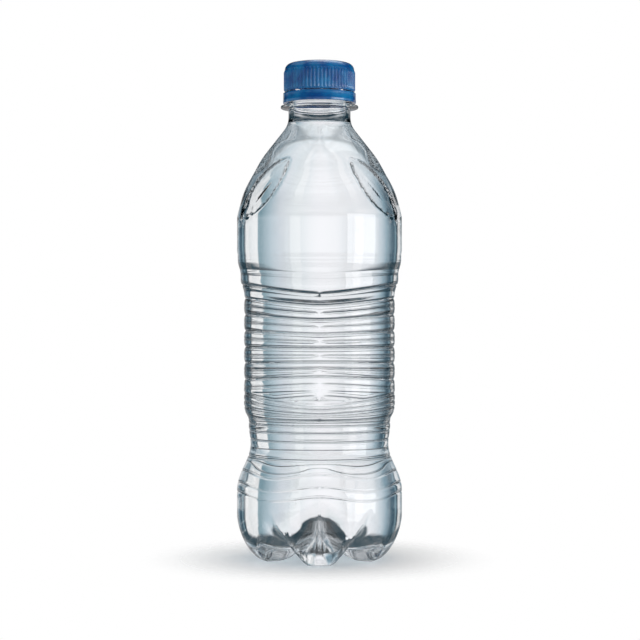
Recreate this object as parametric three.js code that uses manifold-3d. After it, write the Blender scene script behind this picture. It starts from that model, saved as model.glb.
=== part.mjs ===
import * as THREE from 'three';
import Module from 'manifold-3d';

// A 500 ml drinking-water bottle, full and closed.
// Millimetres and degrees. Z is up, Z = 0 is the table under the five feet, and -Y is the front.

// Faceting
const bodyColumns = 30;
const capColumns = 60;
const threadSteps = 24;
const domeSteps = 3;
const footSteps = 4;
const shoulderSteps = 11;
const capEdgeSteps = 3;

// Body radii, outside
const bodyRadius = 33.85;
const lowerPanelRadius = 33.6;
const bandRadius = 32.4;
const ribRadius = 31;
const waistTopRadius = 29.05;
const waistRadius = 28.3;
const bodyWall = 0.35;

// Section heights, from the feet upwards
const baseHeight = 24;
const bulgeHeight = 17.7;
const waistHeight = 15.1;
const eyeHeight = 8.8;
const eyeGap = 8.8;
const ribPitch = 6.1;
const ribGrooves = 6;
const ribMargin = 5.1;
const bandHeight = 8.6;
const lowerPanelHeight = 7.2;
const panelHeight = 14;
const shoulderHeight = 41.4;

// How the wall bends between sections: shares of a section's height or of a step in radius, and slopes
const bulgeStraight = 0.23;
const bulgeBend = 0.68;
const bulgeDrawn = 0.38;
const bulgeSlope = -0.42;
const bulgeEnd = 0.85;
const waistStart = 0.18;
const waistNarrow = 0.35;
const waistWide = 0.85;
const eyeBend = 0.3;
const eyeDrawn = 0.69;
const eyeSlope = 0.4;
const eyeTop = 0.65;
const ribEnd = 0.6;
const bandFoot = 0.26;
const bandHead = 0.12;
const lowerPanelFoot = 0.16;
const lowerPanelHead = 0.14;
const thickeningStart = 0.65;

// Base with five feet
const footCount = 5;
const footHeight = 18;
const footRoundness = 1.65;
const padOuterRadius = 23.8;
const padWidth = 4.8;
const padHalfAngle = 12;
const domeHeight = 6.7;
const valleyDraw = 0.07;
const valleyRoundness = 2.2;

// Grooves, and the waves that they follow around the body
const bulgeGrooves = [3.1, 7, 11.7];
const bulgeWave = 1.2;
const waistGrooves = [7.5, 11, 14];
const eyeLines = [4.7, 6.7];
const fineDepth = 0.3;
const fineHalfWidth = 0.8;
const eyeDepth = 0.45;
const eyeDrop = 1.7;
const eyeRise = 1.6;
const eyeCorner = 0.8;
const ribDepth = 0.8;
const ribHalfWidth = 1.05;
const borderDepth = 0.5;
const borderDrop = 2.1;
const waveSharpness = 1.5;

// Shoulder: how far its radius has come from the body to the neck, as stations of height, share and slope
const bellCurve = [
  [0, 0, 0.35], [0.17, 0.083, 0.51], [0.39, 0.272, 1.15], [0.63, 0.552, 1.52],
  [0.8, 0.813, 1.52], [0.92, 0.974, 0.68], [1, 1, 0],
];
const leafAngle = 47;
const leafRise = 10.5;
const leafHalfLength = 16.5;
const leafHalfWidth = 6.6;
const leafTilt = -48;
const leafDepth = 2.2;

// Neck finish, with the thread that the cap turns on
const neckRadius = 12.75;
const neckHeight = 3.4;
const boreRadius = 10.85;
const ringRadius = 15.95;
const ringThickness = 1;
const ringChamfer = 0.15;
const finishHeight = 15.3;
const finishRadius = 12.2;
const beadRadius = 14;
const beadHeight = 1.9;
const beadSlope = 0.5;
const lipChamfer = 0.5;
const threadPitch = 2.7;
const threadTurns = 1.75;
const threadHeight = 1.1;
const threadFoot = 1.4;
const threadTip = 0.8;
const threadDrop = 2.4;
const threadBury = 0.3;
const threadTaper = 2;
const threadEnd = 0.1;

// Water, filled to just under the neck
const waterDrop = 3.6;
const waterGap = 0.3;

// Cap and its sealing disc
const capTopWall = 1.1;
const capSideWall = 0.65;
const capEdgeRadius = 2.8;
const capCornerDrop = 1.3;
const capCornerInset = 1.05;
const capDome = 0.25;
const capRim = 0.5;
const knurlCount = 60;
const knurlHeight = 0.4;
const knurlFoot = 0.95;
const knurlTip = 0.5;
const capThreadFoot = 0.9;
const capThreadTip = 0.5;
const linerThickness = 0.7;
const sealGap = 0.3;
const linerOverhang = 0.1;
const threadGap = 0.35;
const ridgeGap = 0.55;

// Tamper band
const bandWall = 0.65;
const bandGap = 0.35;
const bandRingGap = 1.1;
const bandChamfer = 0.25;
const hookHeight = 1.4;
const hookGap = 0.6;
const bridgeSpace = 0.6;
const bridgeGap = 0.3;
const capBeadGap = 0.7;
const bridgeEvery = 5;

// Levels that follow from the heights
const waistLevel = baseHeight + bulgeHeight;
const eyeLevel = waistLevel + waistHeight;
const smileLevel = eyeLevel + eyeHeight;
const ribLevel = smileLevel + eyeGap;
const borderLevel = ribLevel + ribPitch * (ribGrooves - 1) + ribMargin;
const lowerPanelLevel = borderLevel + bandHeight;
const panelLevel = lowerPanelLevel + lowerPanelHeight;
const shoulderLevel = panelLevel + panelHeight;
const neckLevel = shoulderLevel + shoulderHeight;
const waterLevel = neckLevel - waterDrop;
const ringLevel = neckLevel + neckHeight;
const finishLevel = ringLevel + ringThickness;
const mouthLevel = finishLevel + finishHeight;
const bandBottom = finishLevel + bandRingGap;
const hookTop = bandBottom + hookHeight;
const beadBottom = hookTop + hookGap;
const capBottom = beadBottom + beadHeight + capBeadGap;
const bandTop = capBottom - bridgeSpace;
const linerLevel = mouthLevel + sealGap;
const ceilingLevel = linerLevel + linerThickness + sealGap;
const capTop = ceilingLevel + capTopWall;
const capInnerRadius = finishRadius + threadHeight + threadGap;
const capRootRadius = capInnerRadius + capSideWall;
const bandInnerRadius = beadRadius + bandGap;

const radians = THREE.MathUtils.degToRad;
const { clamp, lerp, smoothstep } = THREE.MathUtils;
const wasm = await Module();
wasm.setup();

// Rings of points, and closed bodies made from them

function polar(radius, angle, z) {
  return new THREE.Vector3(radius * Math.sin(angle), -radius * Math.cos(angle), z);
}

function circle(radius, z, count) {
  return Array.from({ length: count }, (_, i) => polar(radius, (i / count) * 2 * Math.PI, z));
}

function pole(z) {
  return [new THREE.Vector3(0, 0, z)];
}

// Two rings may have different counts, and one of them may be a pole.
function bridge(index, lower, upper, upperFirst) {
  let i = 0;
  let j = 0;
  while (i < lower.length || j < upper.length) {
    const a = lower[i % lower.length];
    const b = upper[j % upper.length];
    const nextA = lower[(i + 1) % lower.length];
    const nextB = upper[(j + 1) % upper.length];
    const ahead = (i + 1) / lower.length - (j + 1) / upper.length;
    if (upperFirst ? ahead < 0 : ahead <= 0) {
      if (nextA !== a) index.push(a, nextA, b);
      i++;
    } else {
      if (nextB !== b) index.push(a, nextB, b);
      j++;
    }
  }
}

// From the turning ring on, faces are split the other way, so that a wall's two sides match.
function loft(rings, { closed = false, turning = rings.length } = {}) {
  const positions = [];
  const index = [];
  const numbered = rings.map((ring) => ring.map((point) => positions.push(...point.toArray()) / 3 - 1));
  if (closed) numbered.push(numbered[0]);
  for (let i = 0; i + 1 < numbered.length; i++) bridge(index, numbered[i], numbered[i + 1], i >= turning);
  const geometry = new THREE.BufferGeometry();
  geometry.setAttribute('position', new THREE.Float32BufferAttribute(positions, 3));
  geometry.setIndex(index);
  return geometry;
}

function toSolid(geometry) {
  return new wasm.Manifold(new wasm.Mesh({
    numProp: 3,
    vertProperties: geometry.attributes.position.array,
    triVerts: Uint32Array.from(geometry.index.array),
  }));
}

function toGeometry(solid) {
  const { vertProperties, triVerts } = solid.getMesh();
  const geometry = new THREE.BufferGeometry();
  geometry.setAttribute('position', new THREE.BufferAttribute(vertProperties, 3));
  geometry.setIndex(new THREE.BufferAttribute(triVerts, 1));
  return geometry;
}

// A smooth curve through stations of [height, value, slope]
function alongStations(stations, height) {
  let i = 0;
  while (i < stations.length - 2 && height > stations[i + 1][0]) i++;
  const [h0, v0, m0] = stations[i];
  const [h1, v1, m1] = stations[i + 1];
  const span = h1 - h0;
  const t = clamp((height - h0) / span, 0, 1);
  const u = 1 - t;
  return v0 * u * u * (1 + 2 * t) + v1 * t * t * (3 - 2 * t) + span * (m0 * t * u * u - m1 * t * t * u);
}

// Body profile, from the top of the base to the neck

const wallStations = [
  [baseHeight, bodyRadius, 0],
  [baseHeight + bulgeHeight * bulgeStraight, bodyRadius, 0],
  [baseHeight + bulgeHeight * bulgeBend, lerp(bodyRadius, waistRadius, bulgeDrawn), bulgeSlope],
  [waistLevel + waistHeight * waistNarrow, waistRadius, 0],
  [waistLevel + waistHeight * waistWide, waistTopRadius, 0],
  [eyeLevel, waistTopRadius, 0],
  [eyeLevel + eyeHeight * eyeBend, lerp(waistTopRadius, ribRadius, eyeDrawn), eyeSlope],
  [eyeLevel + eyeHeight * eyeTop, ribRadius, 0],
  [borderLevel - ribMargin * ribEnd, ribRadius, 0],
  [borderLevel + bandHeight * bandFoot, bandRadius, 0],
  [lowerPanelLevel - bandHeight * bandHead, bandRadius, 0],
  [lowerPanelLevel + lowerPanelHeight * lowerPanelFoot, lowerPanelRadius, 0],
  [panelLevel - lowerPanelHeight * lowerPanelHead, lowerPanelRadius, 0],
  [panelLevel, bodyRadius, 0],
  [shoulderLevel, bodyRadius, 0],
];

function wallRadius(level) {
  if (level <= shoulderLevel) return alongStations(wallStations, level);
  return lerp(bodyRadius, neckRadius, alongStations(bellCurve, (level - shoulderLevel) / shoulderHeight));
}

// One leaf-shaped recess in each quarter of the shoulder
function leafRecess(angle, level) {
  const quarter = Math.asin(Math.abs(Math.sin(angle)));
  const across = bodyRadius * (quarter - radians(leafAngle));
  const up = level - (shoulderLevel + leafRise);
  const tilt = radians(leafTilt);
  const along = (across * Math.cos(tilt) + up * Math.sin(tilt)) / leafHalfLength;
  const aside = (up * Math.cos(tilt) - across * Math.sin(tilt)) / leafHalfWidth;
  const room = 1 - along * along;
  if (room <= 0 || Math.abs(aside) >= room) return 0;
  return leafDepth * Math.sqrt(room) * (1 - (aside / room) ** 2);
}

// The grooves rise and dip: five times around the lower bulge, and twice around the ribs.
function footWave(angle, level) {
  const rise = smoothstep(level, footHeight, baseHeight + bulgeGrooves[0]);
  const fall = smoothstep(level, baseHeight + bulgeGrooves[2], waistLevel);
  return bulgeWave * Math.cos(footCount * angle) * rise * (1 - fall);
}

function halfWave(angle) {
  return 1 - 2 * Math.abs(Math.sin(angle)) ** waveSharpness;
}

function ribWave(angle, level) {
  if (level <= smileLevel) return -eyeDrop * clamp((level - eyeLevel) / eyeHeight, 0, 1) * halfWave(angle);
  if (level >= borderLevel) {
    return -borderDrop * (1 - smoothstep(level, borderLevel, panelLevel)) * halfWave(angle);
  }
  return lerp(eyeRise, -borderDrop, (level - smileLevel) / (borderLevel - smileLevel)) * halfWave(angle);
}

// Rows of the wall. Each has a level, how far it is drawn in, and the height that it has at an angle.

function row(level, inset = 0, height = (angle) => level + footWave(angle, level) + ribWave(angle, level)) {
  return { level, inset, height, deep: inset > 0 };
}

function groove(level, halfWidth, depth) {
  return [row(level - halfWidth), row(level, depth), row(level + halfWidth)];
}

function betweenGrooves(levels, depth) {
  return levels.flatMap((level, i) => {
    const between = i ? [row((levels[i - 1] + level) / 2)] : [];
    return [...between, row(level, depth)];
  });
}

// The eye at the foot of the ribs. Its lower lid runs right round, and its upper lid meets it at the ends.
function eyeRows() {
  const lower = (angle) => smileLevel - eyeDrop * halfWave(angle);
  const open = (angle) => smileLevel + eyeCorner / 2 + eyeRise * halfWave(angle);
  const upper = (angle) => Math.max(open(angle), lower(angle) + eyeCorner);
  return [
    row(smileLevel, eyeDepth, lower),
    row(smileLevel + eyeCorner / 2, 0, (angle) => (lower(angle) + upper(angle)) / 2),
    row(smileLevel + eyeCorner, eyeDepth, upper),
    row(smileLevel + eyeCorner + fineHalfWidth, 0, (angle) => upper(angle) + fineHalfWidth),
  ];
}

const ribLevels = Array.from({ length: ribGrooves }, (_, i) => ribLevel + i * ribPitch);
const shoulderLevels = Array.from(
  { length: shoulderSteps }, (_, i) => lerp(shoulderLevel, waterLevel, (i + 1) / shoulderSteps),
);
const wallRows = [
  row(baseHeight),
  ...bulgeGrooves.flatMap((offset) => groove(baseHeight + offset, fineHalfWidth, fineDepth)),
  row(baseHeight + bulgeHeight * bulgeEnd),
  row(waistLevel),
  row(waistLevel + waistHeight * waistStart),
  row(waistLevel + waistHeight * waistNarrow),
  ...betweenGrooves(waistGrooves.map((offset) => waistLevel + offset), fineDepth),
  row(eyeLevel),
  row(eyeLevel + (eyeHeight * eyeBend) / 2),
  row(eyeLevel + eyeHeight * eyeBend),
  ...betweenGrooves(eyeLines.map((offset) => eyeLevel + offset), fineDepth),
  row(smileLevel - fineHalfWidth),
  ...eyeRows(),
  ...ribLevels.flatMap((level) => groove(level, ribHalfWidth, ribDepth)),
  ...groove(borderLevel, fineHalfWidth, borderDepth),
  row(borderLevel + bandHeight * bandFoot),
  row(lowerPanelLevel - bandHeight * bandHead),
  row(lowerPanelLevel + lowerPanelHeight * lowerPanelFoot),
  row(panelLevel - lowerPanelHeight * lowerPanelHead),
  row(panelLevel),
  row(shoulderLevel),
  ...shoulderLevels.map((level) => row(level)),
  row(neckLevel),
];

function wallRing({ level, inset, height }) {
  return circle(1, 0, bodyColumns).map((_, i) => {
    const angle = (i / bodyColumns) * 2 * Math.PI;
    return polar(wallRadius(level) - inset - leafRecess(angle, level), angle, height(angle));
  });
}

// Base: each foot stands out of a rounded dome, and a valley runs up between two feet.

const valleyAngle = Math.PI / footCount;
const padInnerRadius = padOuterRadius - padWidth;
const footProfile = [
  ...Array.from({ length: domeSteps }, (_, i) => {
    const share = (i + 1) / domeSteps;
    return [padInnerRadius * share, (domeHeight * (1 + Math.cos(Math.PI * share))) / 2];
  }),
  ...Array.from({ length: footSteps + 1 }, (_, i) => {
    const turn = ((i / footSteps) * Math.PI) / 2;
    const out = Math.sin(turn) ** (2 / footRoundness);
    const down = Math.cos(turn) ** (2 / footRoundness);
    return [lerp(padOuterRadius, bodyRadius, out), footHeight * (1 - down)];
  }),
];

function valleyLevel(radius) {
  const share = 1 - (1 - (radius / bodyRadius) ** valleyRoundness) ** (1 / valleyRoundness);
  return lerp(domeHeight, baseHeight, share);
}

function footRing([footRadius, footLevel]) {
  const climb = footLevel / baseHeight;
  const valleyRadius = footRadius * (1 - valleyDraw * (1 - climb));
  const halfAngle = lerp(radians(padHalfAngle), valleyAngle, climb);
  return circle(1, 0, bodyColumns).map((_, i) => {
    const angle = (i / bodyColumns) * 2 * Math.PI;
    const fromFoot = Math.abs(angle - Math.round(angle / (2 * valleyAngle)) * 2 * valleyAngle);
    const share = clamp((valleyAngle - fromFoot) / (valleyAngle - halfAngle), 0, 1);
    const level = lerp(valleyLevel(valleyRadius), footLevel, share);
    return polar(lerp(valleyRadius, footRadius, share), angle, level + footWave(angle, level));
  });
}

// Inner surfaces keep their distance from the outer one, square to it.

function inwardRings(rings, distanceAt) {
  return rings.map((ring, i) => {
    const below = rings[Math.max(i - 1, 0)];
    const above = rings[Math.min(i + 1, rings.length - 1)];
    return ring.map((point, j) => {
      const around = ring[(j + 1) % ring.length].clone().sub(ring[(j + ring.length - 1) % ring.length]);
      const up = above[j].clone().sub(below[j]);
      return point.clone().addScaledVector(around.cross(up).normalize(), -distanceAt(i));
    });
  });
}

const bodyRings = [...footProfile.map(footRing), ...wallRows.map(wallRing)];
const neckWall = neckRadius - boreRadius;

function wallAt(i) {
  const level = i < footProfile.length ? 0 : wallRows[i - footProfile.length].level;
  const start = lerp(shoulderLevel, neckLevel, thickeningStart);
  return lerp(bodyWall, neckWall, smoothstep(level, start, neckLevel));
}

function middle(ring) {
  const sum = ring.reduce((total, point) => total.add(point), new THREE.Vector3());
  return [sum.divideScalar(ring.length)];
}

// Helical ridge for a thread, running down from its top end and tapering out at both ends
function threadRidge(rootRadius, tipRadius, foot, tip, topLevel) {
  const steps = Math.round(threadTurns * threadSteps);
  const away = Math.sign(tipRadius - rootRadius);
  const rings = [];
  for (let i = 0; i <= steps; i++) {
    const turn = (i / threadSteps - threadTurns) * 2 * Math.PI;
    const level = topLevel + (turn / (2 * Math.PI)) * threadPitch;
    const height = clamp(Math.min(i, steps - i) / threadTaper, threadEnd, 1);
    const corners = [
      [rootRadius - away * threadBury, -foot / 2], [lerp(rootRadius, tipRadius, height), -tip / 2],
      [lerp(rootRadius, tipRadius, height), tip / 2], [rootRadius - away * threadBury, foot / 2],
    ];
    const ring = corners.map(([radius, rise]) => polar(radius, turn, level + rise));
    rings.push(away > 0 ? ring.reverse() : ring);
  }
  return loft([middle(rings[0]), ...rings, middle(rings[steps])]);
}

// Pieces

function bottle() {
  const inner = inwardRings(bodyRings, wallAt).slice(0, -1);
  const ring = (radius, level) => circle(radius, level, bodyColumns);
  const outer = [
    pole(domeHeight), ...bodyRings,
    ring(neckRadius, ringLevel), ring(ringRadius, ringLevel + ringChamfer),
    ring(ringRadius, finishLevel - ringChamfer), ring(neckRadius, finishLevel),
    ring(neckRadius, beadBottom), ring(beadRadius, beadBottom + beadSlope / 4),
    ring(beadRadius, beadBottom + beadHeight - beadSlope), ring(finishRadius, beadBottom + beadHeight),
    ring(finishRadius, mouthLevel - lipChamfer), ring(finishRadius - lipChamfer, mouthLevel),
    ring(boreRadius, mouthLevel), ring(boreRadius, neckLevel),
  ];
  const rings = [...outer, ...inner.reverse(), pole(domeHeight + bodyWall)];
  const shell = loft(rings, { turning: outer.length - 1 });
  const ridge = threadRidge(
    finishRadius, finishRadius + threadHeight, threadFoot, threadTip, mouthLevel - threadDrop,
  );
  return toGeometry(toSolid(shell).add(toSolid(ridge)));
}

// The water follows the wall, except that it passes straight behind the ribs.
function water() {
  const kept = [...footProfile.map(() => true), ...wallRows.map((each, i) => {
    const grooved = each.deep || wallRows[i - 1]?.deep || wallRows[i + 1]?.deep;
    return (each.deep || !grooved) && each.level < waterLevel - waterGap;
  })];
  const rings = inwardRings(bodyRings, (i) => wallAt(i) + waterGap).filter((_, i) => kept[i]);
  const topRadius = wallRadius(waterLevel) - neckWall - waterGap;
  const top = [circle(topRadius, waterLevel, bodyColumns), pole(waterLevel)];
  return loft([pole(domeHeight + bodyWall + waterGap), ...rings, ...top]);
}

function knurledRing(level) {
  const crest = capRootRadius + knurlHeight;
  return Array.from({ length: knurlCount }, (_, i) => {
    const centre = ((i + 0.5) / knurlCount) * 2 * Math.PI;
    const corners = [
      [-knurlFoot, capRootRadius], [-knurlTip, crest], [knurlTip, crest], [knurlFoot, capRootRadius],
    ];
    return corners.map(([width, radius]) => polar(radius, centre + width / 2 / crest, level));
  }).flat();
}

function screwCap() {
  const ring = (radius, level) => circle(radius, level, capColumns);
  const inside = (radius, level) => circle(radius, level, bodyColumns);
  const edgeBottom = capTop - capDome - capEdgeRadius;
  const edge = Array.from({ length: capEdgeSteps + 1 }, (_, i) => {
    const turn = ((i / capEdgeSteps) * Math.PI) / 2;
    return ring(
      capRootRadius - capEdgeRadius * (1 - Math.cos(turn)), edgeBottom + capEdgeRadius * Math.sin(turn),
    );
  });
  const shell = loft([
    pole(ceilingLevel), inside(capInnerRadius - capCornerInset, ceilingLevel),
    inside(capInnerRadius, ceilingLevel - capCornerDrop), inside(capInnerRadius, capBottom),
    ring(capRootRadius, capBottom), ring(capRootRadius, capBottom + capRim / 2),
    knurledRing(capBottom + capRim), knurledRing(edgeBottom - knurlHeight), ...edge, pole(capTop),
  ]);
  const ridge = threadRidge(
    capInnerRadius, finishRadius + ridgeGap, capThreadFoot, capThreadTip,
    mouthLevel - threadDrop - threadPitch / 2,
  );
  return toGeometry(toSolid(shell).add(toSolid(ridge)));
}

function capLiner() {
  const radius = finishRadius + linerOverhang;
  const corners = [[0, 0], [radius, 0], [radius, linerThickness], [0, linerThickness]];
  const profile = corners.map(([x, y]) => new THREE.Vector2(x, y));
  return new THREE.LatheGeometry(profile, bodyColumns).rotateX(Math.PI / 2);
}

function tamperBand() {
  const outer = bandInnerRadius + bandWall;
  const hook = neckRadius + hookGap;
  const ring = (radius, level) => circle(radius, level, capColumns);
  const bridges = (radius) => ring(radius, bandTop).map((point, i) => {
    if (i % bridgeEvery < 2) point.z = capBottom - bridgeGap;
    return point;
  });
  return loft([
    ring(hook, bandBottom + bandChamfer), ring(outer - bandChamfer, bandBottom),
    ring(outer, bandBottom + bandChamfer), bridges(outer), bridges(bandInnerRadius),
    ring(bandInnerRadius, hookTop), ring(hook, hookTop - bandChamfer),
  ], { closed: true });
}

// Materials

function clearPlastic() {
  return new THREE.MeshStandardMaterial({ color: 0xdcebf2, roughness: 0.06, metalness: 0 });
}

function bluePlastic() {
  return new THREE.MeshStandardMaterial({ color: 0x2f78bd, roughness: 0.3, metalness: 0 });
}

function clearWater() {
  return new THREE.MeshStandardMaterial({ color: 0xe6f3f8, roughness: 0.02, metalness: 0 });
}

function linerPlastic() {
  return new THREE.MeshStandardMaterial({ color: 0xe9edf0, roughness: 0.5, metalness: 0 });
}

const model = new THREE.Group();

function addPiece(name, geometry, material, level = 0) {
  const piece = new THREE.Mesh(geometry, material);
  piece.name = name;
  piece.position.z = level;
  model.add(piece);
}

addPiece('bottle', bottle(), clearPlastic());
addPiece('water', water(), clearWater());
addPiece('screw_cap', screwCap(), bluePlastic());
addPiece('cap_liner', capLiner(), linerPlastic(), linerLevel);
addPiece('tamper_band', tamperBand(), bluePlastic());

export default model;
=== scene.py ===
import math

import bmesh
import bpy
import numpy as np
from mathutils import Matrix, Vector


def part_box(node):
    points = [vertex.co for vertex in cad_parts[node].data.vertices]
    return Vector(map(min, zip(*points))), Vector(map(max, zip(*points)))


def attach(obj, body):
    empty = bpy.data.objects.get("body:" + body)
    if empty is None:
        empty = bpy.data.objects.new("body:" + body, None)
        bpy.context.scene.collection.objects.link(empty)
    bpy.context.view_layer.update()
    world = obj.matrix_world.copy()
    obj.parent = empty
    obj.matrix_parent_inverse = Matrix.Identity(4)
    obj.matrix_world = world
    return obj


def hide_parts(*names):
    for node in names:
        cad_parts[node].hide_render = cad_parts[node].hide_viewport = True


# A full, closed drinking-water bottle: clear ribbed shell, water, blue screw cap, liner and tamper band.
# Shapes are worked out in millimetres and handed to Blender in metres.

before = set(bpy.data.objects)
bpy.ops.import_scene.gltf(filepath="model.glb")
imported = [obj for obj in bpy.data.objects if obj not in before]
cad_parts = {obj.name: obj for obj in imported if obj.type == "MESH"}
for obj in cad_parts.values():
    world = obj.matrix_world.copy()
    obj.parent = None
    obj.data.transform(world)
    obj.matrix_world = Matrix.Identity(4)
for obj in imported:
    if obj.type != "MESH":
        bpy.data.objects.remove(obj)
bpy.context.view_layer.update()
mm = 0.001
fullTurn = 2 * math.pi
print("frame loaded:", ", ".join(sorted(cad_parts)))


# A socket that takes part in plain expressions, each of which adds its Math node
class Wire:
    def __init__(self, graph, socket):
        self.graph = graph
        self.socket = socket

    def maths(self, operation, *others):
        return self.graph.add("ShaderNodeMath", {"operation": operation}, dict(enumerate([self, *others])))

    def __add__(self, other):
        return self.maths("ADD", other)

    # other - self
    def __rsub__(self, other):
        return self.maths("MULTIPLY_ADD", -1, other)

    def __mul__(self, other):
        return self.maths("MULTIPLY", other)

    def __truediv__(self, other):
        return self.maths("DIVIDE", other)

    __radd__ = __add__
    __rmul__ = __mul__

    # 0 below low, 1 above high, and a smooth step between them
    def step(self, low, high):
        sockets = {"Value": self, "From Min": low, "From Max": high}
        return self.graph.add("ShaderNodeMapRange", {"interpolation_type": "SMOOTHSTEP"}, sockets)


# A material's or world's nodes
class Graph:
    def __init__(self, owner):
        owner.use_nodes = True
        self.tree = owner.node_tree
        self.tree.nodes.clear()

    def add(self, kind, settings=None, sockets=None, output=0):
        node = self.tree.nodes.new(kind)
        for name, value in (settings or {}).items():
            if name == "stops":
                self.setStops(node.color_ramp, value)
            else:
                setattr(node, name, value)
        for key, value in (sockets or {}).items():
            if isinstance(value, Wire):
                self.tree.links.new(value.socket, node.inputs[key])
            else:
                node.inputs[key].default_value = value
        return Wire(self, node.outputs[output] if len(node.outputs) else None)

    def setStops(self, ramp, stops):
        ramp.elements[0].position, ramp.elements[1].position = stops[0][0], stops[-1][0]
        for position, _ in stops[1:-1]:
            ramp.elements.new(position)
        for element, (position, colour) in zip(ramp.elements, stops):
            element.color = (*colour, 1)

    def mixColour(self, share, low, high):
        sockets = {0: share, 6: low, 7: high}
        return self.add("ShaderNodeMix", {"data_type": "RGBA"}, sockets, output=2)

    def mixShader(self, share, low, high):
        return self.add("ShaderNodeMixShader", {}, {0: share, 1: low, 2: high})

    def lightPath(self, question):
        return self.add("ShaderNodeLightPath", output=question)

    def objectPlace(self):
        return self.add("ShaderNodeTexCoord", output="Object")

    def noise(self, place, scale, detail):
        return self.add("ShaderNodeTexNoise", {}, {"Vector": place, "Scale": scale, "Detail": detail})

    def bump(self, height, strength, distance):
        return self.add("ShaderNodeBump", {}, {"Strength": strength, "Distance": distance, "Height": height})

    def principled(self, sockets):
        return self.add("ShaderNodeBsdfPrincipled", {}, sockets)

    def finishMaterial(self, surface):
        self.add("ShaderNodeOutputMaterial", {}, {"Surface": surface})


def newMaterial(name):
    material = bpy.data.materials.new(name)
    return Graph(material), material


def link(item):
    bpy.context.scene.collection.objects.link(item)


def smoothStep(value, low, high):
    share = np.clip((value - low) / (high - low), 0, 1)
    return share * share * (3 - 2 * share)


def blendTo(low, high, share):
    return low + (high - low) * share


# Camera, at the photograph's place: level, in line with the front foot

camera = {"distance": 697.5, "height": 97.7, "focalLength": 95.35, "sensorWidth": 36, "shift": 0.0008}

viewer = bpy.data.objects.new("camera", bpy.data.cameras.new("camera"))
link(viewer)
viewer.location = (0, -camera["distance"] * mm, camera["height"] * mm)
viewer.rotation_euler = (math.pi / 2, 0, 0)
viewer.data.lens = camera["focalLength"]
viewer.data.sensor_width = camera["sensorWidth"]
viewer.data.shift_x = camera["shift"]
bpy.context.scene.camera = viewer
print("camera placed")

# Bottle: driving sizes

bottle = {
    "bodyRadius": 33.85,
    "lowerPanelRadius": 33.6,
    "bandRadius": 32.4,
    "ribRadius": 31,
    "waistTopRadius": 29.05,
    "waistRadius": 28.3,
    "wall": 0.5,
    "thickeningStart": 0.65,  # share of the shoulder's height
    "baseHeight": 24,
    "bulgeHeight": 17.7,
    "waistHeight": 15.1,
    "eyeHeight": 8.8,
    "eyeGap": 8.8,
    "ribPitch": 6.1,
    "ribGrooves": 6,
    "ribMargin": 5.1,
    "bandHeight": 8.6,
    "lowerPanelHeight": 7.2,
    "panelHeight": 14,
    "shoulderHeight": 41.4,
    "ribHollow": 0.4,
    "partingHalfWidth": 3.4,  # degrees
}

# Spacing of the mesh: rows in millimetres, the shell's columns in degrees within a quarter turn
spacing = {
    "rows": 0.9,
    "grooveRows": 0.15,
    "innerRows": 1.9,
    "sideColumns": 3.5,
    "leafColumns": 1.7,
    "leafStart": 26,
    "leafEnd": 70,
    "partingColumns": (-0.95, -0.45, 0.45, 0.95),
    "waterColumns": 104,
    "threadRows": 0.22,
}

base = {
    "feet": 5,
    "footHeight": 18,
    "roundness": 1.65,
    "padOuterRadius": 23.8,
    "padWidth": 4.8,
    "padHalfAngle": 12,
    "domeHeight": 6.7,
    "valleyDraw": 0.07,
    "valleyRoundness": 2.2,
    "gateRadius": 2.2,
    "gateHeight": 0.6,
}

# How far the lines around the body rise and dip
waves = {"bulge": 1.2, "eyeDrop": 1.7, "eyeRise": 1.6, "eyeCorner": 0.8, "borderDrop": 2.1, "sharpness": 1.5}

neck = {
    "radius": 12.75,
    "height": 3.4,
    "boreRadius": 10.85,
    "ringRadius": 15.95,
    "ringThickness": 1,
    "finishHeight": 15.3,
    "finishRadius": 12.2,
    "beadRadius": 14,
    "beadBottom": 3.1,
    "beadHeight": 1.9,
    "lip": 0.5,
    "mouthBevel": 0.3,
    "threadPitch": 2.7,
    "threadTurns": 1.75,
    "threadHeight": 1.1,
    "threadFoot": 1.4,
    "threadTip": 0.8,
    "threadDrop": 2.4,
}

# Leaf-shaped recess of the shoulder, one in each quarter
leaf = {
    "angle": 47,
    "rise": 10.5,
    "halfLength": 16.5,
    "halfWidth": 6.6,
    "tilt": -48,
    "depth": 0.9,
    "edgeShare": 0.55,
    "ridge": 0.45,
    "ridgeWidth": 0.26,
    "rimDepth": 0.95,
    "rimHalfWidth": 1.15,
}

waistLevel = bottle["baseHeight"] + bottle["bulgeHeight"]
eyeLevel = waistLevel + bottle["waistHeight"]
smileLevel = eyeLevel + bottle["eyeHeight"]
ribLevel = smileLevel + bottle["eyeGap"]
borderLevel = ribLevel + bottle["ribPitch"] * (bottle["ribGrooves"] - 1) + bottle["ribMargin"]
lowerPanelLevel = borderLevel + bottle["bandHeight"]
panelLevel = lowerPanelLevel + bottle["lowerPanelHeight"]
shoulderLevel = panelLevel + bottle["panelHeight"]
neckLevel = shoulderLevel + bottle["shoulderHeight"]
ringLevel = neckLevel + neck["height"]
finishLevel = ringLevel + neck["ringThickness"]
mouthLevel = finishLevel + neck["finishHeight"]

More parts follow.
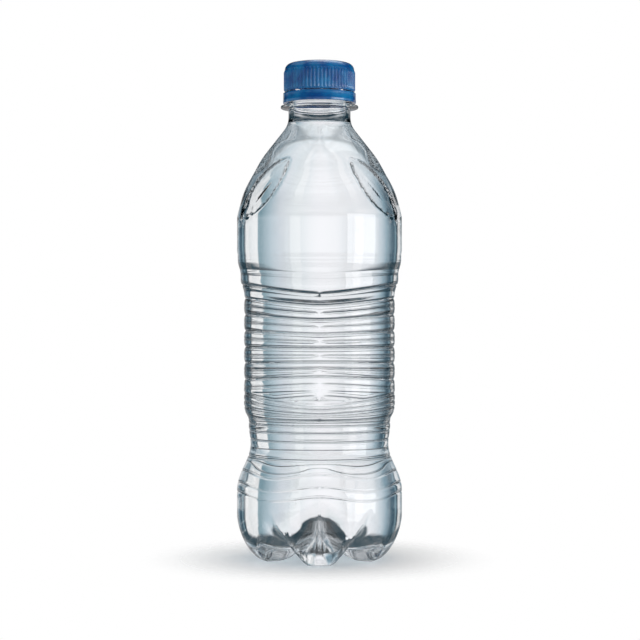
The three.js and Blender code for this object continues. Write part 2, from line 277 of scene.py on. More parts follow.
# Height, radius and slope at stations of the wall; a smooth curve joins them
wallStations = [
    (bottle["baseHeight"], bottle["bodyRadius"], 0),
    (bottle["baseHeight"] + 4.1, bottle["bodyRadius"], 0),
    (bottle["baseHeight"] + 12, 31.75, -0.42),
    (waistLevel + 5.3, bottle["waistRadius"], 0),
    (waistLevel + 12.8, bottle["waistTopRadius"], 0),
    (eyeLevel, bottle["waistTopRadius"], 0),
    (eyeLevel + 2.6, 30.4, 0.4),
    (eyeLevel + 5.7, bottle["ribRadius"], 0),
    (borderLevel - 3.1, bottle["ribRadius"], 0),
    (borderLevel + 2.2, bottle["bandRadius"], 0),
    (lowerPanelLevel - 4, bottle["bandRadius"], 0),
    (lowerPanelLevel + 3.5, bottle["lowerPanelRadius"], 0),
    (panelLevel - 1, bottle["lowerPanelRadius"], 0),
    (panelLevel, bottle["bodyRadius"], 0),
    (shoulderLevel, bottle["bodyRadius"], 0),
]
bellStations = [
    (0, 0, 0.35), (0.17, 0.083, 0.51), (0.39, 0.272, 1.15), (0.63, 0.552, 1.52),
    (0.8, 0.813, 1.52), (0.92, 0.974, 0.68), (1, 1, 0),
]

# Thin grooves of the wall: level, half width, depth, and whether the parting line breaks it
plainLine = (0.5, 0.26, False)
lidLine = (0.55, 0.36)
bulgeLines = (3.1, 7, 11.7)
ribLevels = [ribLevel + bottle["ribPitch"] * i for i in range(bottle["ribGrooves"])]
fineLines = [
    *[(bottle["baseHeight"] + rise, *plainLine) for rise in bulgeLines],
    (waistLevel + 0.4, 0.65, 0.38, False),
    *[(waistLevel + rise, *plainLine) for rise in (7.5, 11, 14)],
    *[(eyeLevel + rise, *plainLine) for rise in (4.7, 6.7)],
    *[(level, *lidLine, False) for level in ribLevels],
    *[(level - bottle["ribPitch"] / 2, 0.4, 0.16, True) for level in ribLevels],
    (borderLevel, 0.6, 0.38, True),
    (lowerPanelLevel - 1.3, 0.4, 0.03, False),
    (lowerPanelLevel + 2.8, 0.4, 0.04, False),
]


def alongStations(stations, height):
    last = len(stations) - 2
    i = next((k for k in range(last) if height <= stations[k + 1][0]), last)
    (h0, v0, m0), (h1, v1, m1) = stations[i], stations[i + 1]
    span = h1 - h0
    t = min(max((height - h0) / span, 0), 1)
    u = 1 - t
    return v0 * u * u * (1 + 2 * t) + v1 * t * t * (3 - 2 * t) + span * (m0 * t * u * u - m1 * t * t * u)


def wallRadius(level):
    if level <= shoulderLevel:
        return alongStations(wallStations, level)
    share = alongStations(bellStations, (level - shoulderLevel) / bottle["shoulderHeight"])
    return blendTo(bottle["bodyRadius"], neck["radius"], share)


# The bulge's lines rise over each foot.
def footWave(angles, level):
    rise = smoothStep(level, base["footHeight"], bottle["baseHeight"] + bulgeLines[0])
    fall = smoothStep(level, bottle["baseHeight"] + bulgeLines[-1], waistLevel)
    return waves["bulge"] * np.cos(base["feet"] * angles) * rise * (1 - fall)


# 1 at the front and back, -1 at the sides
def halfWave(angles):
    return 1 - 2 * np.abs(np.sin(angles)) ** waves["sharpness"]


def lowerLid(angles):
    return smileLevel - waves["eyeDrop"] * halfWave(angles)


def upperLid(angles):
    upper = smileLevel + waves["eyeCorner"] / 2 + waves["eyeRise"] * halfWave(angles)
    return np.maximum(upper, lowerLid(angles) + waves["eyeCorner"])


# How high a level of the wall lies at each angle: the ribs and grooves rise and dip around the body.
# Between the eye's two lids the surface opens, and closes again up to the first rib.
def wallHeight(angles, level):
    half = halfWave(angles)
    eyeTop = smileLevel + waves["eyeCorner"]
    firstRib = ribLevel - bottle["ribPitch"] / 2 - 0.6
    dip = blendTo(waves["eyeRise"], -waves["borderDrop"], (level - smileLevel) / (borderLevel - smileLevel))
    ribHeight = level + dip * half
    if level <= smileLevel:
        drop = waves["eyeDrop"] * np.clip((level - eyeLevel) / bottle["eyeHeight"], 0, 1)
        return level - drop * half + footWave(angles, level)
    if level <= eyeTop:
        return blendTo(lowerLid(angles), upperLid(angles), (level - smileLevel) / waves["eyeCorner"])
    if level < firstRib:
        share = (level - eyeTop) / (firstRib - eyeTop)
        return blendTo(upperLid(angles), ribHeight + (firstRib - level), share)
    if level <= borderLevel:
        return ribHeight
    return level - waves["borderDrop"] * (1 - smoothStep(level, borderLevel, panelLevel)) * half


def leafRecess(angles, level, sharp):
    quarter = np.arcsin(np.abs(np.sin(angles)))
    across = bottle["bodyRadius"] * (quarter - math.radians(leaf["angle"]))
    up = level - (shoulderLevel + leaf["rise"])
    tilt = math.radians(leaf["tilt"])
    along = (across * math.cos(tilt) + up * math.sin(tilt)) / leaf["halfLength"]
    aside = (up * math.cos(tilt) - across * math.sin(tilt)) / leaf["halfWidth"]
    room = np.clip(1 - along * along, 1e-6, 1)
    inside = smoothStep(1 - (aside / room) ** 2, 0, leaf["edgeShare"])
    ridge = leaf["ridge"] * np.exp(-(aside / leaf["ridgeWidth"]) ** 2) * room
    recess = leaf["depth"] * np.sqrt(room) * inside
    if not sharp:
        return recess
    rimDistance = (np.abs(aside) - room) * leaf["halfWidth"]
    rim = notch(rimDistance, leaf["rimHalfWidth"], leaf["rimDepth"]) * smoothStep(room, 0, 0.2)
    return recess - ridge * inside + rim


def notch(distance, halfWidth, depth):
    return depth * (0.5 + 0.5 * np.cos(math.pi * np.clip(np.abs(distance) / halfWidth, 0, 1)))


# The outer wall alone has the sharp grooves; the inner wall only follows the hollows.
def grooves(angles, level, heights):
    inset = np.zeros_like(angles)
    partingEdge = math.sin(math.radians(bottle["partingHalfWidth"]))
    parting = smoothStep(np.abs(np.sin(angles)), 0.5 * partingEdge, partingEdge)
    for lineLevel, halfWidth, depth, broken in fineLines:
        if abs(level - lineLevel) < 2 * halfWidth:
            inset += notch(level - lineLevel, halfWidth, depth) * (parting if broken else 1)
    inset += notch(heights - lowerLid(angles), *lidLine)
    if level > smileLevel + 0.1:
        inset += notch(heights - upperLid(angles), *lidLine) * parting
    return inset


def ribHollow(level):
    halfPitch = bottle["ribPitch"] / 2
    nearest = min(abs(level - rib) for rib in ribLevels)
    return bottle["ribHollow"] * max(1 - nearest / halfPitch, 0) ** 2


# A ring of points; the radius and the height are each one number, or one for each angle.
def polar(radius, angles, height):
    ones = np.ones_like(angles)
    return np.stack([radius * np.sin(angles), -radius * np.cos(angles), height * ones], axis=1)


def wallRing(angles, level, sharp):
    heights = wallHeight(angles, level)
    inset = leafRecess(angles, level, sharp) + ribHollow(level)
    if sharp:
        inset += grooves(angles, level, heights)
    return polar(wallRadius(level) - inset, angles, heights)


# Five feet stand out of a rounded dome, and a valley runs up between two feet.
def footRing(angles, radius, level):
    valleyAngle = math.pi / base["feet"]
    climb = level / bottle["baseHeight"]
    valleyRadius = radius * (1 - base["valleyDraw"] * (1 - climb))
    halfAngle = blendTo(math.radians(base["padHalfAngle"]), valleyAngle, climb)
    fromFoot = np.abs(angles - np.round(angles / (2 * valleyAngle)) * 2 * valleyAngle)
    room = max(valleyAngle - halfAngle, 1e-6)
    share = np.clip((valleyAngle - fromFoot) / room, 0, 1)
    outward = valleyRadius / bottle["bodyRadius"]
    power = base["valleyRoundness"]
    rise = 1 - max(1 - outward ** power, 0) ** (1 / power)
    valleyLevel = blendTo(base["domeHeight"], bottle["baseHeight"], rise)
    heights = blendTo(valleyLevel, level, share)
    gate = base["gateHeight"] * (1 - smoothStep(radius, base["gateRadius"] * 0.6, base["gateRadius"]))
    return polar(blendTo(valleyRadius, radius, share), angles, heights - gate + footWave(angles, level))


# The outer surface as one climb in millimetres: across the dome and pad, up the foot, then up the wall
padInner = base["padOuterRadius"] - base["padWidth"]
quarterClimb = 22  # the foot's rounded side
footClimb = base["padOuterRadius"] + quarterClimb
wallClimb = footClimb + bottle["baseHeight"] - base["footHeight"]


def levelOf(climb):
    return climb - wallClimb + bottle["baseHeight"]


def climbOf(level):
    return level + wallClimb - bottle["baseHeight"]


def outerRing(angles, climb, sharp=True):
    if climb <= padInner:
        share = climb / padInner
        return footRing(angles, climb, base["domeHeight"] * (1 + math.cos(math.pi * share)) / 2)
    if climb <= base["padOuterRadius"]:
        return footRing(angles, climb, 0)
    if climb <= footClimb:
        turn = (climb - base["padOuterRadius"]) / quarterClimb * math.pi / 2
        power = 2 / base["roundness"]
        out, down = math.sin(turn) ** power, max(math.cos(turn), 0) ** power
        radius = blendTo(base["padOuterRadius"], bottle["bodyRadius"], out)
        return footRing(angles, radius, base["footHeight"] * (1 - down))
    if climb <= wallClimb:
        return footRing(angles, bottle["bodyRadius"], base["footHeight"] + climb - footClimb)
    return wallRing(angles, levelOf(climb), sharp)


# The outer ring moved inwards, square to the surface
def offsetRing(angles, climb, distance):
    climbStep, angleStep = 0.02, 0.002
    up = outerRing(angles, climb + climbStep) - outerRing(angles, max(climb - climbStep, climbStep / 2))
    around = outerRing(angles + angleStep, climb) - outerRing(angles - angleStep, climb)
    across = np.cross(around, up)
    across /= np.linalg.norm(across, axis=1)[:, None]
    return outerRing(angles, climb) - distance * across


# The inner wall: square to the base, and straight in from the ribbed wall above it
def innerRing(angles, climb, distance):
    if climb < wallClimb:
        return offsetRing(angles, climb, distance)
    ring = outerRing(angles, climb, sharp=False)
    ring[:, :2] *= 1 - distance / np.linalg.norm(ring[:, :2], axis=1)[:, None]
    return ring


def wallThickness(climb):
    start = blendTo(shoulderLevel, neckLevel, bottle["thickeningStart"])
    thickened = smoothStep(levelOf(climb), start, neckLevel)
    return blendTo(bottle["wall"], neck["radius"] - neck["boreRadius"], float(thickened))


# Climbs at a plain step; where a fine step is given, the plain panel has fewer and the leaves more,
# and each thin groove has its own.
def climbsTo(topLevel, step, fineStep=None):
    top = climbOf(topLevel)
    firstClimb, lastGap, leafTop, panelMargin = 0.6, 0.1, 25, 4
    climbs = list(np.arange(firstClimb, top, step))
    if fineStep:
        panel = (climbOf(lowerPanelLevel + panelMargin), climbOf(shoulderLevel))
        leaves = (panel[1], climbOf(shoulderLevel + leafTop))
        climbs = [c for c in climbs if not panel[0] < c < leaves[1]]
        climbs += [*np.arange(*panel, 2 * step), *np.arange(*leaves, step * 0.6)]
        fine = [(level, halfWidth) for level, halfWidth, _, _ in fineLines]
        fine += [(smileLevel, 0.6), (smileLevel + 0.5, 0.5)]
        for level, halfWidth in fine:
            middle = climbOf(level)
            climbs = [c for c in climbs if abs(c - middle) > halfWidth + fineStep]
            climbs += list(middle + np.arange(-halfWidth, halfWidth + fineStep / 2, fineStep))
    return sorted(c for c in climbs if c < top - lastGap) + [top]


# A grid wrapped into a tube: each row of it takes one ring of points
def tube(rings):
    bm = bmesh.new()
    columns, rows = len(rings[0]), len(rings) - 1
    bmesh.ops.create_grid(bm, x_segments=columns, y_segments=rows, size=0.5)
    points = np.array(rings) * mm
    for vert in bm.verts:
        column = round((vert.co.x + 0.5) * columns) % columns
        row = round((vert.co.y + 0.5) * rows)
        vert.co = points[row][column]
    bmesh.ops.remove_doubles(bm, verts=bm.verts, dist=mm * 1e-4)
    bmesh.ops.recalc_face_normals(bm, faces=bm.faces)
    return bm


def poleRing(angles, height):
    return np.tile([0.0, 0.0, height], (len(angles), 1))


def evenAngles(count):
    return np.arange(count) / count * fullTurn


def addPiece(name, bm, material, body, node):
    mesh = bpy.data.meshes.new(name)
    bm.to_mesh(mesh)
    bm.free()
    mesh.polygons.foreach_set("use_smooth", [True] * len(mesh.polygons))
    mesh.materials.append(material)
    piece = bpy.data.objects.new(name, mesh)
    link(piece)
    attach(piece, body)
    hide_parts(node)
    triangles = sum(len(p.vertices) - 2 for p in mesh.polygons)
    print(name, triangles, "triangles")


# Share of the thread's height at each angle of a ring, with a run-out at either end
def helixRise(angles, height, top, halfFoot, halfTip):
    rise = np.zeros_like(angles)
    turns = neck["threadTurns"]
    runOut = 12  # each end fades over a twelfth of a turn
    for lap in (1, 2):
        turn = (angles % fullTurn) / fullTurn - lap
        middle = top + turn * neck["threadPitch"]
        flank = np.clip((halfFoot - np.abs(height - middle)) / (halfFoot - halfTip), 0, 1)
        ends = np.clip(np.minimum(-turn, turn + turns) * runOut, 0, 1)
        rise = np.maximum(rise, flank * ends)
    return rise


# The neck above the shoulder: support ring, bead, thread and lip
def finishRings(angles):
    beadBottom = finishLevel + neck["beadBottom"]
    beadTop = beadBottom + neck["beadHeight"]
    bend = neck["ringThickness"] * 0.15
    profile = [
        (neck["radius"], neckLevel + 1), (neck["radius"], neckLevel + 2), (neck["radius"], ringLevel - 0.4),
        (neck["radius"] + 0.12, ringLevel - 0.1), (neck["radius"] + 0.4, ringLevel),
        (neck["ringRadius"] - 0.35, ringLevel), (neck["ringRadius"] - 0.1, ringLevel + bend / 2),
        (neck["ringRadius"], ringLevel + 2 * bend), (neck["ringRadius"], finishLevel - 2 * bend),
        (neck["ringRadius"] - 0.1, finishLevel - bend / 2), (neck["ringRadius"] - 0.35, finishLevel),
        (neck["radius"] + 0.3, finishLevel), (neck["radius"], finishLevel + 0.3),
        (neck["radius"], beadBottom - 0.2), (neck["radius"] + 0.2, beadBottom),
        (neck["beadRadius"] - 0.2, beadBottom + 0.1), (neck["beadRadius"], beadBottom + 0.35),
        (neck["beadRadius"], beadTop - 0.6), (neck["beadRadius"] - 0.4, beadTop - 0.35),
        (neck["finishRadius"] + 0.2, beadTop), (neck["finishRadius"], beadTop + 0.2),
    ]
    rings = [polar(radius, angles, level) for radius, level in profile]
    top = mouthLevel - neck["threadDrop"]
    for level in np.arange(beadTop + 0.5, mouthLevel - neck["lip"] - 0.1, spacing["threadRows"]):
        rise = helixRise(angles, level, top, neck["threadFoot"] / 2, neck["threadTip"] / 2)
        rings.append(polar(neck["finishRadius"] + neck["threadHeight"] * rise, angles, level))
    for turn in (0, 30, 60, 90):
        across, down = 1 - math.cos(math.radians(turn)), 1 - math.sin(math.radians(turn))
        radius = neck["finishRadius"] - neck["lip"] * across
        rings.append(polar(radius, angles, mouthLevel - neck["lip"] * down))
    return rings


# Angles of the shell's columns: close over the leaves, and a few more beside the parting line
def bottleColumns():
    side, start, end = spacing["sideColumns"], spacing["leafStart"], spacing["leafEnd"]
    leaves = np.arange(start, end, spacing["leafColumns"])
    quarter = np.concatenate([np.arange(0, start - 1, side), leaves, np.arange(end + 2, 90, side)])
    spread = [quarter + turn for turn in (0, 90, 180, 270)]
    beside = [(line + away) % 360 for line in (0, 180) for away in spacing["partingColumns"]]
    return np.radians(np.sort(np.concatenate([*spread, beside])))


# One tube from the outer pole up over the lip and down the inner wall
def makeShell():
    angles = bottleColumns()
    outer = [poleRing(angles, base["domeHeight"] - base["gateHeight"])]
    outer += [outerRing(angles, c) for c in climbsTo(neckLevel, spacing["rows"], spacing["grooveRows"])]
    outer += finishRings(angles)
    inner = [poleRing(angles, base["domeHeight"] - base["gateHeight"] + bottle["wall"])]
    inner += [innerRing(angles, c, wallThickness(c)) for c in climbsTo(neckLevel, spacing["innerRows"])]
    bore, edge = neck["boreRadius"], neck["mouthBevel"]
    inner += [polar(bore, angles, level) for level in (ringLevel, mouthLevel - edge)]
    inner += [polar(bore + edge, angles, mouthLevel)]
    return tube(outer + inner[::-1])


# The water reaches a little way into the shell, and its surface climbs at the wall.
def makeWater(fill):
    angles = evenAngles(spacing["waterColumns"])
    sunk = fill["overlap"]
    rings = [poleRing(angles, base["domeHeight"] - base["gateHeight"] + bottle["wall"] - sunk)]
    level = neckLevel - fill["drop"]
    for climb in climbsTo(level + fill["meniscus"], spacing["innerRows"]):
        rings.append(innerRing(angles, climb, wallThickness(climb) - sunk))
    edge = np.linalg.norm(rings[-1][0][:2])
    for share in (0.97, 0.93, 0.88, 0.8, 0.6, 0.3):
        rise = fill["meniscus"] * math.exp(-(1 - share) * edge / fill["meniscusReach"])
        rings.append(polar(edge * share, angles, level + rise))
    rings.append(poleRing(angles, level))
    return tube(rings)


# Clear plastic or water: a faint tint, broad waves of the blown wall and a few scuffs.
# Shadow rays pass straight through, with the tint of the shadow.
def clearMaterial(name, look):
    graph, material = newMaterial(name)
    place = graph.objectPlace()
    ripples = graph.noise(place, look["waveScale"], 2.0)
    scuffs = graph.noise(place, look["scuffScale"], 4.0)
    shader = graph.principled({
        "Base Color": (*look["tint"], 1), "IOR": look["ior"], "Transmission Weight": 1.0,
        "Roughness": look["roughness"] + scuffs.step(0.55, 0.8) * look["scuff"],
        "Normal": graph.bump(ripples, look["waveStrength"], mm),
    })
    passing = graph.add("ShaderNodeBsdfTransparent", {}, {"Color": (*look["shadow"], 1)})
    graph.finishMaterial(graph.mixShader(graph.lightPath("Is Shadow Ray"), shader, passing))
    return material


shellLook = {
    "tint": (0.995, 0.998, 1.0), "ior": 1.575, "roughness": 0.004, "scuff": 0.02, "scuffScale": 90.0,
    "waveScale": 45.0, "waveStrength": 0.03, "shadow": (0.9, 0.93, 0.95),
}
waterLook = {
    "tint": (0.995, 0.998, 1.0), "ior": 1.333, "roughness": 0.0, "scuff": 0.0, "scuffScale": 90.0,
    "waveScale": 20.0, "waveStrength": 0.0, "shadow": (0.95, 0.97, 0.98),
}
# Water: how far below the neck it ends, how far it reaches into the wall, and its rise at the edge
fill = {"drop": 3.6, "overlap": 0.17, "meniscus": 0.7, "meniscusReach": 1.2}

clearPlastic = clearMaterial("clear plastic", shellLook)
stillWater = clearMaterial("still water", waterLook)
addPiece("clear_shell", makeShell(), clearPlastic, "bottle", "bottle")
addPiece("still_water", makeWater(fill), stillWater, "bottle", "water")

# Cap: knurled skirt, rounded edge, inner thread

cap = {
    "columns": 480,
    "bottom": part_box("screw_cap")[0].z / mm,
    "top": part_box("screw_cap")[1].z / mm,
    "rootRadius": 14.3,
    "innerRadius": 13.65,
    "ceiling": 202.2,
    "cornerDrop": 1.3,
    "cornerInset": 1.05,
    "edgeRadius": 2.8,
    "dome": 0.25,
    "rim": 0.5,
    "knurls": 60,
    "knurlHeight": 0.4,
    "knurlRunOut": 1.2,
    "knurlEdge": (0.3, 0.72),
    "threadRows": 0.2,
    "threadInner": 12.75,
    "threadFoot": 0.9,
    "threadTip": 0.5,
}


def knurlShape(angles):
    phase = (angles / fullTurn * cap["knurls"]) % 1
    away = np.abs(phase - 0.5) * 2
    return 1 - smoothStep(away, *cap["knurlEdge"])


# From the top's middle out, down the ribbed skirt, and back up inside past the thread
def makeCap():
    angles = evenAngles(cap["columns"])
    root, bottom, top = cap["rootRadius"], cap["bottom"], cap["top"]
    edgeBottom = top - cap["dome"] - cap["edgeRadius"]
    flatRadius = root - cap["edgeRadius"]
    rings = [poleRing(angles, top)]
    for radius in (3, 6, 9):
        rings.append(polar(radius, angles, top - cap["dome"] * (radius / flatRadius) ** 2))
    for turn in range(90, -1, -9):
        out = cap["edgeRadius"] * (1 - math.cos(math.radians(turn)))
        level = edgeBottom + cap["edgeRadius"] * math.sin(math.radians(turn))
        rings.append(polar(root - out, angles, level))
    knurl = cap["knurlHeight"] * knurlShape(angles)
    for share in np.linspace(0, 1, 6):
        level = edgeBottom - 0.05 - cap["knurlRunOut"] * share
        rings.append(polar(root + knurl * math.sin(share * math.pi / 2), angles, level))
    knurlBottom = bottom + cap["rim"]
    for level in np.linspace(edgeBottom - cap["knurlRunOut"] - 0.8, knurlBottom + 0.45, 7):
        rings.append(polar(root + knurl, angles, level))
    for share in (0.75, 0.4, 0.1):
        rings.append(polar(root + knurl * share, angles, knurlBottom + 0.3 * share))
    rimProfile = [
        (root + 0.12, knurlBottom - 0.1), (root + 0.12, bottom + 0.15),
        (root - 0.05, bottom), (cap["innerRadius"] + 0.1, bottom),
    ]
    rings += [polar(radius, angles, level) for radius, level in rimProfile]
    threadTop = mouthLevel - neck["threadDrop"] - neck["threadPitch"] / 2
    threadHeight = cap["innerRadius"] - cap["threadInner"]
    for level in np.arange(bottom + 0.15, cap["ceiling"] - cap["cornerDrop"], cap["threadRows"]):
        rise = helixRise(angles, level, threadTop, cap["threadFoot"] / 2, cap["threadTip"] / 2)
        rings.append(polar(cap["innerRadius"] - threadHeight * rise, angles, level))
    rings.append(polar(cap["innerRadius"] - cap["cornerInset"], angles, cap["ceiling"]))
    rings.append(poleRing(angles, cap["ceiling"]))
    return tube(rings)


# Slightly translucent moulded plastic: cloudy colour, fine grain and a glossy skin
def bluePlastic(name, look):
    graph, material = newMaterial(name)
    place = graph.objectPlace()
    cloud = graph.noise(place, look["cloudScale"], 3.0)
    grain = graph.noise(place, look["grainScale"], 2.0)
    colour = graph.mixColour(cloud.step(0.3, 0.75), (*look["deep"], 1), (*look["pale"], 1))
    graph.finishMaterial(graph.principled({
        "Base Color": colour, "IOR": 1.5, "Specular IOR Level": look["specular"],
        "Roughness": look["roughness"] + cloud.step(0.4, 0.8) * look["unevenness"],
        "Subsurface Weight": look["glow"], "Subsurface Scale": look["glowReach"],
        "Subsurface Radius": look["glowColour"],
        "Coat Weight": look["coat"], "Coat Roughness": look["coatRoughness"], "Coat IOR": look["coatIor"],
        "Normal": graph.bump(grain, look["grain"], 0.2 * mm),
    }))
    return material


capLook = {
    "deep": (0.0, 0.09, 0.36), "pale": (0.0, 0.26, 0.62), "cloudScale": 160.0,
    "roughness": 0.2, "unevenness": 0.06, "grain": 0.08, "grainScale": 2500.0,
    "glow": 0.3, "glowReach": 0.002, "glowColour": (0.2, 0.7, 1.0),
    "specular": 0.6, "coat": 1.0, "coatRoughness": 0.16, "coatIor": 1.7,
}
capBlue = bluePlastic("blue plastic", capLook)
addPiece("knurled_cap", makeCap(), capBlue, "cap", "screw_cap")

# Tamper band with its broken bridges, and the hook that holds it under the bead

band = {
    "columns": 480,
    "bottom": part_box("tamper_band")[0].z / mm,
    "top": 190.7,
    "bridgeRise": 0.3,
    "inner": 14.35,
    "outer": 15,
    "hookTop": 188.1,
    "hookRadius": 13.35,
    "round": 0.25,
    "step": 0.08,
    "bridgeEvery": 5,  # knurls
    "bridgeHalfWidths": (0.45, 0.7),
}


def makeBand():
    angles = evenAngles(band["columns"])
    apart = fullTurn / cap["knurls"] * band["bridgeEvery"]
    phase = (angles - fullTurn / cap["knurls"] / 2) % apart
    nearest = np.minimum(phase, apart - phase) * band["outer"]
    raised = band["bridgeRise"] * (1 - smoothStep(nearest, *band["bridgeHalfWidths"]))
    bend, inner, outer, hook = band["round"], band["inner"], band["outer"], band["hookRadius"]
    bottom, top, hookTop = band["bottom"], band["top"], band["hookTop"]
    upperOuter = outer - band["step"]
    profile = [
        (hook, bottom + bend), (hook + bend, bottom), (outer - bend, bottom),
        (outer - bend * 0.3, bottom + bend * 0.3), (outer, bottom + bend),
        (outer, bottom + 1.2), (upperOuter, bottom + 1.5), (upperOuter, top - 0.6), (upperOuter, top - bend),
        (outer - 0.15, top + raised), (inner + 0.1, top + raised), (inner, top - bend), (inner, hookTop),
        (hook + 0.1, hookTop - bend), (hook, hookTop - 2 * bend), (hook, bottom + bend),
    ]
    return tube([polar(radius, angles, level) for radius, level in profile])


addPiece("tamper_ring", makeBand(), capBlue, "bottle", "tamper_band")

# Liner: soft white disc with shallow sealing rings in its underside

liner = {
    "columns": 96,
    "bottom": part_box("cap_liner")[0].z / mm,
    "top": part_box("cap_liner")[1].z / mm,
    "radius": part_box("cap_liner")[1].x / mm,
    "bevel": 0.2,
    "ringRise": 0.12,
    "ringStart": 8,
    "ringRate": 3,
    "rows": 0.4,
}


def makeLiner():
    angles = evenAngles(liner["columns"])
    low, high, radius, bevel = liner["bottom"], liner["top"], liner["radius"], liner["bevel"]
    profile = []
    for r in np.arange(2, radius - liner["rows"], liner["rows"]):
        turn = max(r - liner["ringStart"], 0) * liner["ringRate"]
        profile.append((r, low + liner["ringRise"] * (0.5 - 0.5 * math.cos(turn))))
    profile += [(radius - bevel, low), (radius, low + bevel), (radius, high - bevel), (radius - bevel, high)]
    rings = [polar(r, angles, level) for r, level in profile]
    return tube([poleRing(angles, low), *rings, poleRing(angles, high)])


def softWhite(name, look):
    graph, material = newMaterial(name)
    cells = graph.noise(graph.objectPlace(), look["cellScale"], 3.0)
    colour = graph.mixColour(cells.step(0.35, 0.7), (*look["shade"], 1), (*look["light"], 1))
    graph.finishMaterial(graph.principled({
        "Base Color": colour, "Roughness": look["roughness"] + cells * look["unevenness"],
        "Normal": graph.bump(cells, look["cellDepth"], 0.2 * mm),
    }))
    return material


linerLook = {
    "shade": (0.83, 0.86, 0.88), "light": (0.9, 0.92, 0.93), "roughness": 0.5, "unevenness": 0.15,
    "cellScale": 1800.0, "cellDepth": 0.2,
}
softFoam = softWhite("soft white foam", linerLook)
addPiece("sealing_liner", makeLiner(), softFoam, "liner", "cap_liner")

# Studio: white all round to the eye; to glass it is a row of pale screens with dark gaps between them

studio = {
    "floorRadius": 3.0,
    # the floor turns to plain background between these distances from the middle, in metres
    "fadeStart": 0.02,
    "fadeEnd": 0.075,
    "floorColour": (0.97, 0.97, 0.97),
    # strength of the light from all round, and of what gloss shows of the screens
    "ambient": 0.46,
    "glossShare": 0.4,
    # colours of a screen and the gap beside it, in degrees from the screen's middle
    "screens": [
        (-45, (0.24, 0.36, 0.42)), (-43, (0.18, 0.28, 0.34)), (-41, (0.06, 0.11, 0.15)),
        (-37, (0.06, 0.11, 0.15)), (-31, (0.26, 0.39, 0.47)), (-27, (0.55, 0.65, 0.72)),
        (-22, (0.82, 0.86, 0.9)), (-16, (0.93, 0.94, 0.97)), (-7, (0.98, 0.98, 1.0)),
        (0, (0.97, 0.97, 1.0)), (8, (0.88, 0.92, 0.94)), (14, (0.72, 0.76, 0.81)),
        (19, (0.46, 0.58, 0.65)), (24, (0.23, 0.36, 0.42)), (26, (0.22, 0.35, 0.41)),
        (27, (1, 1, 1)), (40, (1, 1, 1)), (41.5, (0.04, 0.08, 0.11)), (44, (0.04, 0.08, 0.11)),
        (45, (0.2, 0.32, 0.38)),
    ],
    # the same, lower down
    "drapes": [
        (-45, (0.35, 0.45, 0.52)), (-32, (0.6, 0.68, 0.73)), (-18, (0.82, 0.87, 0.9)),
        (0, (0.84, 0.88, 0.91)), (14, (0.76, 0.83, 0.87)), (27, (0.6, 0.69, 0.75)),
        (40, (0.35, 0.45, 0.52)), (45, (0.35, 0.45, 0.52)),
    ],
    # degrees above the horizon: share of the screens, then share of the dark
    "screenShare": [(-26, 0), (-15, 1), (40, 1)],
    "darkShare": [
        (-40, 0), (-37, 0.55), (-31, 0.55), (-27, 0), (8.5, 0), (11, 1), (29, 1), (37, 0),
    ],
    "dark": (0.012, 0.035, 0.05),
}


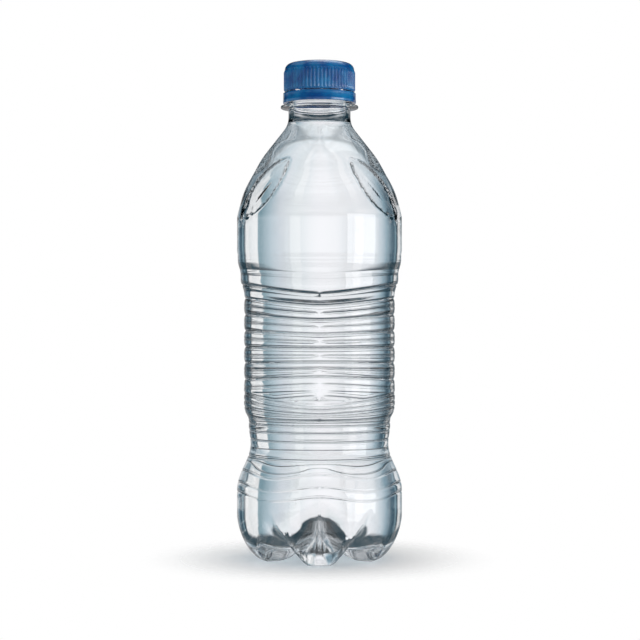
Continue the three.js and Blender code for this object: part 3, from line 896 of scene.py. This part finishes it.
def makeWorld():
    world = bpy.data.worlds.new("studio")
    bpy.context.scene.world = world
    graph = Graph(world)
    direction = graph.add("ShaderNodeTexCoord", output="Generated")
    x, y, z = (graph.add("ShaderNodeSeparateXYZ", {}, {"Vector": direction}, output=i) for i in range(3))
    place = (x.maths("ARCTAN2", y) * (2 / math.pi) + 0.5).maths("FRACT")
    height = z.maths("ARCSINE") / math.pi + 0.5

    def ramp(stops, value):
        return graph.add("ShaderNodeValToRGB", {"stops": stops}, {"Fac": value})

    def aroundRamp(stops):
        return ramp([((turn + 45) / 90, colour) for turn, colour in stops], place)

    def heightRamp(stops):
        return ramp([((rise + 90) / 180, (share,) * 3) for rise, share in stops], height)

    screens, drapes = aroundRamp(studio["screens"]), aroundRamp(studio["drapes"])
    seen = graph.mixColour(heightRamp(studio["screenShare"]), drapes, screens)
    seen = graph.mixColour(heightRamp(studio["darkShare"]), seen, (*studio["dark"], 1))
    # a ray that glass refracts counts as glossy too
    refracted = graph.lightPath("Is Transmission Ray")
    reflected = graph.lightPath("Is Glossy Ray") * (1 - refracted)
    seen = graph.mixColour(reflected, seen, graph.mixColour(studio["glossShare"], (0, 0, 0, 1), seen))
    seen = graph.mixColour(refracted.maths("MAXIMUM", reflected), (*(studio["ambient"],) * 3, 1), seen)
    seen = graph.mixColour(graph.lightPath("Is Camera Ray"), seen, (1, 1, 1, 1))
    background = graph.add("ShaderNodeBackground", {}, {"Color": seen, "Strength": 1.0})
    graph.add("ShaderNodeOutputWorld", {}, {"Surface": background})


# The floor holds the shadow, is clear to glass and gloss, and fades out around the object.
def makeFloor():
    graph, material = newMaterial("pale floor")
    place = graph.objectPlace()
    distance = graph.add("ShaderNodeVectorMath", {"operation": "LENGTH"}, {0: place}, output=1)
    pale = graph.add("ShaderNodeBsdfDiffuse", {}, {"Color": (*studio["floorColour"], 1)})
    clear = graph.add("ShaderNodeBsdfTransparent")
    hidden = graph.lightPath("Is Transmission Ray").maths("MAXIMUM", graph.lightPath("Is Glossy Ray"))
    fading = distance.step(studio["fadeStart"], studio["fadeEnd"]) * graph.lightPath("Is Camera Ray")
    graph.finishMaterial(graph.mixShader(hidden.maths("MAXIMUM", fading), pale, clear))
    bm = bmesh.new()
    bmesh.ops.create_circle(bm, cap_ends=True, segments=128, radius=studio["floorRadius"])
    mesh = bpy.data.meshes.new("floor")
    bm.to_mesh(mesh)
    bm.free()
    mesh.materials.append(material)
    floor = bpy.data.objects.new("floor", mesh)
    link(floor)


# Softboxes: sizes and places in metres, power in watts
lamps = [
    {"name": "right softbox", "size": (0.7, 0.4), "place": (0.75, -0.43, 0.1), "power": 2.2},
    {"name": "top softbox", "size": (0.9, 0.9), "place": (0.2, 0.3, 1.2), "power": 3.4},
]


def makeLamps():
    for lamp in lamps:
        data = bpy.data.lights.new(lamp["name"], "AREA")
        data.shape = "RECTANGLE"
        data.size, data.size_y = lamp["size"]
        data.energy = lamp["power"]
        item = bpy.data.objects.new(lamp["name"], data)
        link(item)
        item.location = lamp["place"]
        target = viewer.location.copy()  # the object's middle, level with the camera
        target.y = 0
        item.rotation_mode = "QUATERNION"
        item.rotation_quaternion = (item.location - target).to_track_quat("Z", "Y")
        item.visible_transmission = False
        item.visible_camera = False


makeWorld()
makeFloor()
makeLamps()

scene = bpy.context.scene
scene.view_settings.view_transform = "Standard"
bounces = 32  # clear walls lie many deep
scene.cycles.max_bounces = bounces
scene.cycles.transmission_bounces = bounces
scene.cycles.transparent_max_bounces = bounces
print("studio ready")
